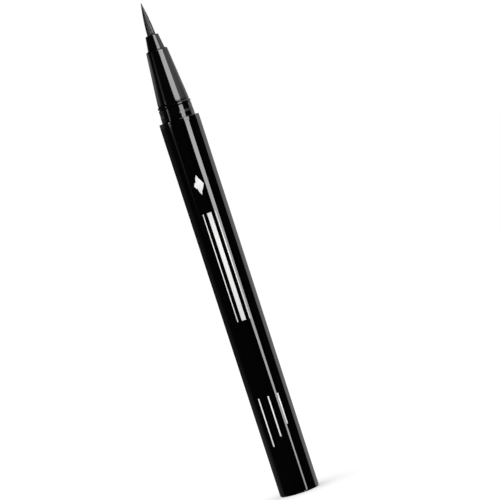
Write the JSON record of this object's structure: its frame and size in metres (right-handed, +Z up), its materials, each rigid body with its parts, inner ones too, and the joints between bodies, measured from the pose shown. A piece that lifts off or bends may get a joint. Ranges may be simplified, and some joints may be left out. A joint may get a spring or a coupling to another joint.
{
  "type": "liquid eyeliner pen",
  "caption": "Slim glossy pen with a pointed brush tip, tapered nose, snap neck for a cap and a straight barrel that holds an ink tank with a loose mixing ball.",
  "frame": {"origin": "centre of the tail face, on the surface that the pen stands on", "axes": "+Z up the pen's axis from the tail to the brush tip; +X towards the exchange hole and the ink channel inside"},
  "size_m": [0.0104, 0.0104, 0.128],
  "materials": {
    "barrel_gloss_black": "high gloss",
    "front_gloss_black": "gloss",
    "plug_black": "fine matt",
    "natural_polypropylene": "milky, unpigmented",
    "ball_steel": "polished",
    "wick_fibre": "bonded fibre, soaked with ink",
    "brush_fibre": "satin fibre, wet with ink"
  },
  "bodies": {
    "pen": {"barrel": "barrel_gloss_black", "tail_plug": "plug_black", "ink_tank": "natural_polypropylene", "tank_seal": "natural_polypropylene", "collector": "natural_polypropylene", "relay_wick": "wick_fibre", "neck_sleeve": "front_gloss_black", "nose_cone": "front_gloss_black", "tip_holder": "front_gloss_black", "brush_root": "brush_fibre", "brush_bristles": "brush_fibre"},
    "ball": {"mixing_ball": "ball_steel"}
  },
  "joints": [
    {"name": "ball_travel", "type": "slide", "parent": "pen", "child": "ball", "axis": [0, 0, 1], "range_m": [0, 0.0489]}
  ]
}
